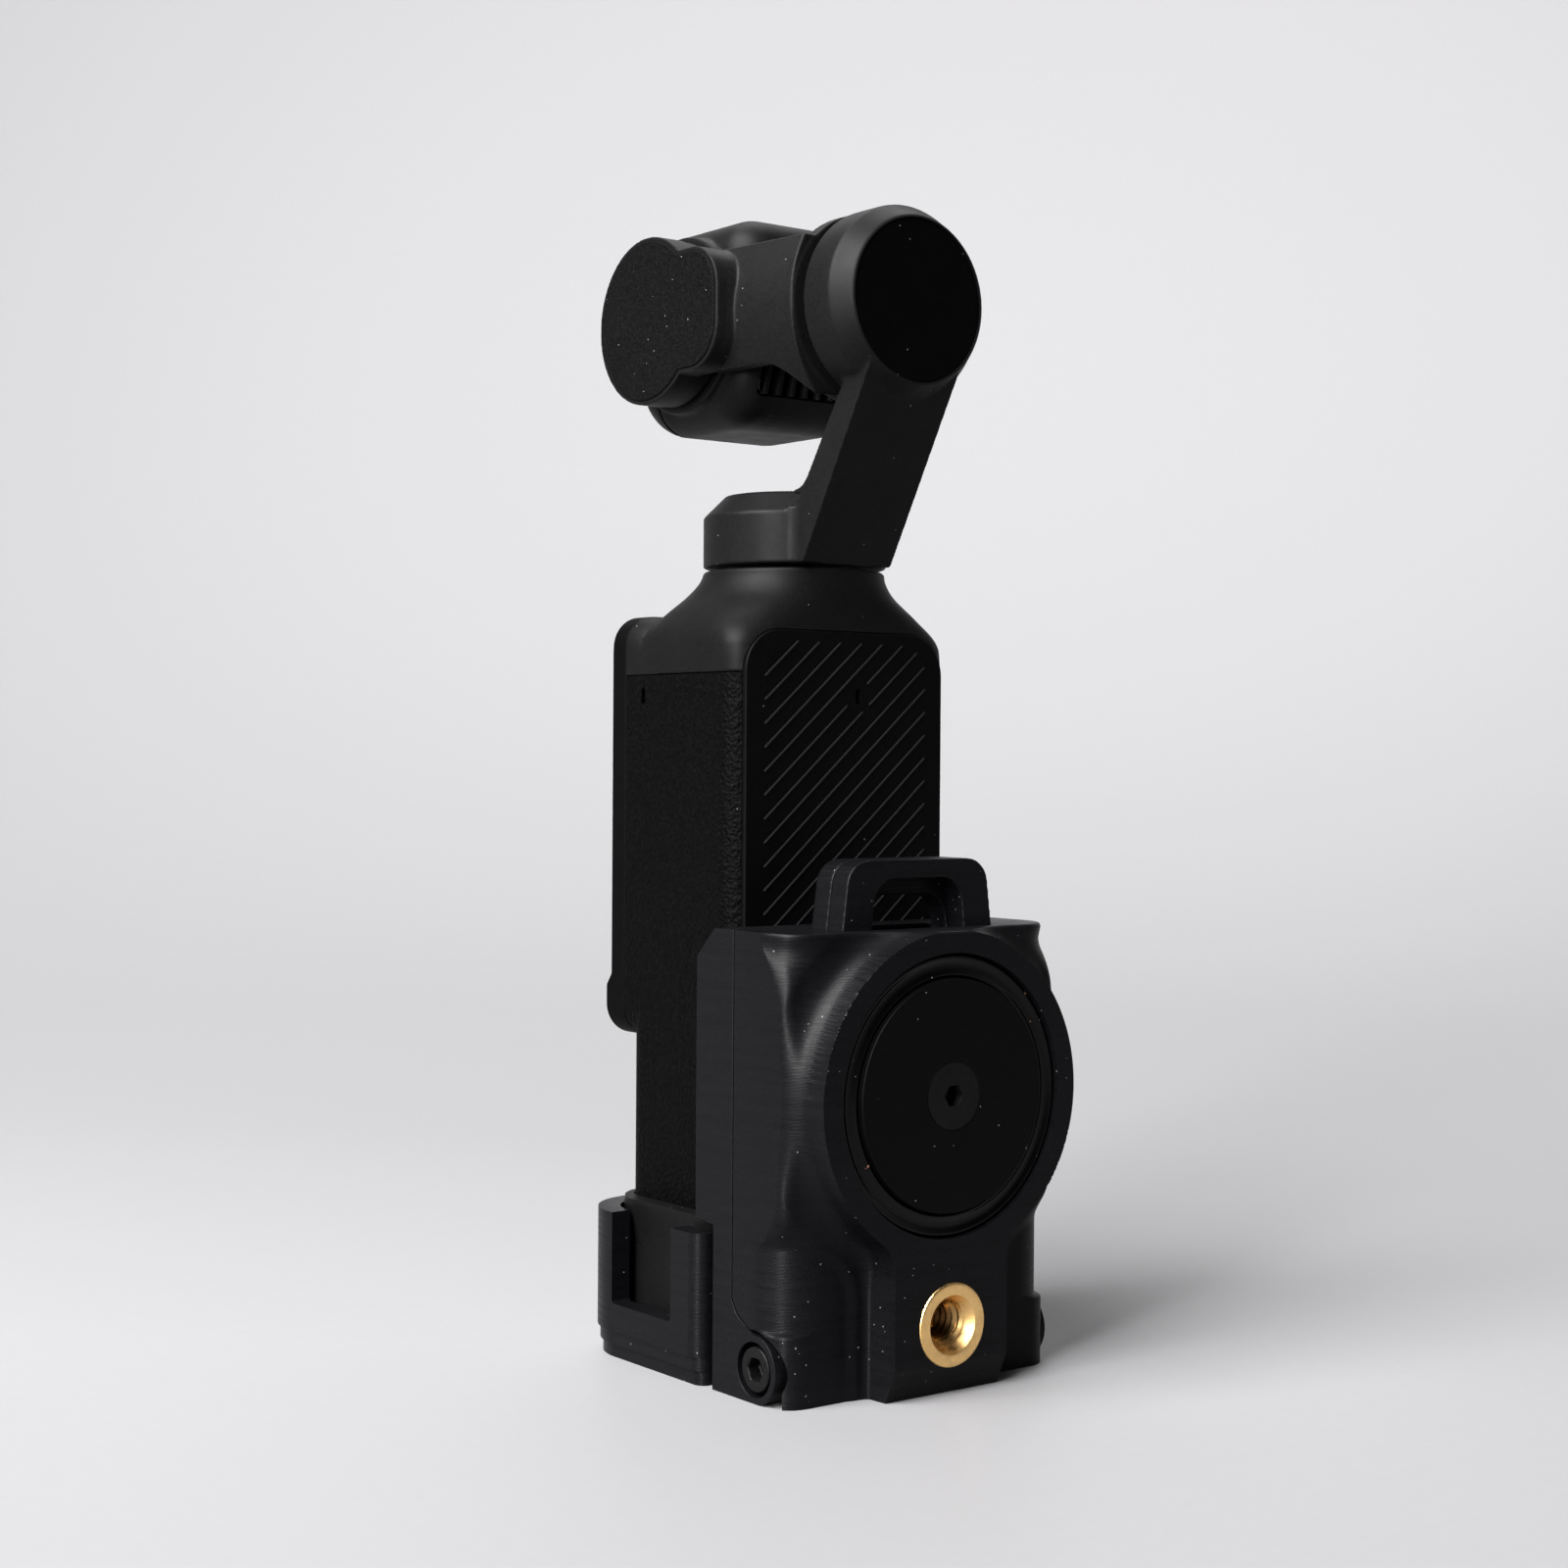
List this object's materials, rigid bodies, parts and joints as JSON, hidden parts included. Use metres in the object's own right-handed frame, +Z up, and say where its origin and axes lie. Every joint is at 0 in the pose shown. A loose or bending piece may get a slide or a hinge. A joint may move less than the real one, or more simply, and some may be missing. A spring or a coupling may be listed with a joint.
{
  "type": "pan tilt camera mount",
  "caption": "Three-axis pocket gimbal camera seated in a printed cradle with a hinged rear leaf that carries a magnetic disc and a tripod thread.",
  "frame": {"origin": "on the bottom face of the toe cup, under the pan axis of the gimbal", "axes": "+Z up along the pan axis, +Y towards the rear leaf with the tripod thread, -Y towards the screen and the lens, +X the side with the tilt motor"},
  "size_m": [0.0552, 0.073, 0.1785],
  "materials": {
    "printed_black": "printed black filament with fine horizontal layer lines and a faint sheen",
    "soft_touch_black": "smooth soft-touch black",
    "screw_black": "black oxide steel",
    "insert_brass": "satin machined brass",
    "magnet_coating": "black epoxy coating with small chips",
    "disc_black": "fine sanded black",
    "grip_leather": "fine-grained black leather-texture wrap",
    "cap_leather": "fine-grained black leather texture",
    "panel_black": "matte black with thin raised ribs",
    "body_dark": "bead-textured dark grey shell",
    "cap_gloss": "smooth black",
    "battery_wrap": "shrink-wrapped cell",
    "board_green": "circuit board",
    "steel_bright": "ground steel",
    "motor_steel": "laminated steel and winding",
    "screen_bezel": "gloss black",
    "display_glass": "dark display glass",
    "stick_rubber": "rubber thumb cap",
    "button_red": "red button",
    "lens_glass": "coated lens glass",
    "fin_metal": "black anodised fins"
  },
  "bodies": {
    "mount": {"cradle_shell": "printed_black", "toe_cup": "printed_black", "toe_cup_screws": "screw_black", "base_adapter": "soft_touch_black", "hinge_screw": "screw_black", "hinge_nut": "screw_black", "handle_shell": "grip_leather", "rear_grip_panel": "panel_black", "shoulder_cover": "body_dark", "battery": "battery_wrap", "main_board": "board_green", "usb_socket": "steel_bright", "pan_stator": "motor_steel", "pan_bearing": "steel_bright"},
    "leaf": {"rear_leaf": "printed_black", "threaded_insert": "insert_brass", "ring_magnet": "magnet_coating", "disc_plate": "disc_black", "disc_screw": "screw_black"},
    "latch": {"latch_loop_inner": "printed_black", "latch_loop_outer": "printed_black"},
    "screen": {"screen_frame": "screen_bezel", "screen_glass": "display_glass"},
    "stick_gimbal": {"joystick_ring": "body_dark"},
    "stick": {"joystick_cap": "stick_rubber"},
    "record": {"record_button": "button_red"},
    "pan": {"pan_arm": "body_dark", "pan_shaft": "steel_bright", "roll_cap": "cap_gloss", "roll_stator": "motor_steel", "roll_bearing": "steel_bright"},
    "roll": {"roll_bracket": "body_dark", "roll_shaft": "steel_bright", "tilt_housing": "body_dark", "tilt_cap": "cap_leather", "tilt_stator": "motor_steel", "tilt_bearing": "steel_bright"},
    "head": {"head_rear_shell": "body_dark", "head_front_shell": "cap_gloss", "lens_barrel": "screen_bezel", "lens_ring": "steel_bright", "lens_glass": "lens_glass", "sensor_module": "motor_steel", "heat_sink": "fin_metal", "tilt_shaft": "steel_bright"}
  },
  "joints": [
    {"name": "leaf_hinge", "type": "hinge", "parent": "mount", "child": "leaf", "pos_m": [0, 0.0259, 0.0049], "axis": [-1, 0, 0], "range_deg": [0, 90]},
    {"name": "latch_slide", "type": "slide", "parent": "leaf", "child": "latch", "axis": [0, 0, 1], "range_m": [0, 0.005]},
    {"name": "screen_swivel", "type": "hinge", "parent": "mount", "child": "screen", "pos_m": [0, -0.018, 0.08215], "axis": [0, 1, 0], "range_deg": [0, 90]},
    {"name": "stick_up_down", "type": "hinge", "parent": "mount", "child": "stick_gimbal", "pos_m": [0, -0.01, 0.0398], "axis": [1, 0, 0], "range_deg": [-7, 7], "stiffness_Nm_per_rad": 0.02},
    {"name": "stick_left_right", "type": "hinge", "parent": "stick_gimbal", "child": "stick", "pos_m": [0, -0.01, 0.0398], "axis": [0, 0, 1], "range_deg": [-7, 7], "stiffness_Nm_per_rad": 0.02},
    {"name": "record_press", "type": "slide", "parent": "mount", "child": "record", "axis": [0, 1, 0], "range_m": [0, 0.0005], "stiffness_N_per_m": 500},
    {"name": "pan_axis", "type": "hinge", "parent": "mount", "child": "pan", "pos_m": [0, 0, 0.123], "axis": [0, 0, 1], "range_deg": [-235, 58]},
    {"name": "roll_axis", "type": "hinge", "parent": "pan", "child": "roll", "pos_m": [0, 0.02, 0.1613], "axis": [0, 1, 0], "range_deg": [-45, 45]},
    {"name": "tilt_axis", "type": "hinge", "parent": "roll", "child": "head", "pos_m": [0.013, -0.0135, 0.1613], "axis": [1, 0, 0], "range_deg": [-90, 70]}
  ]
}
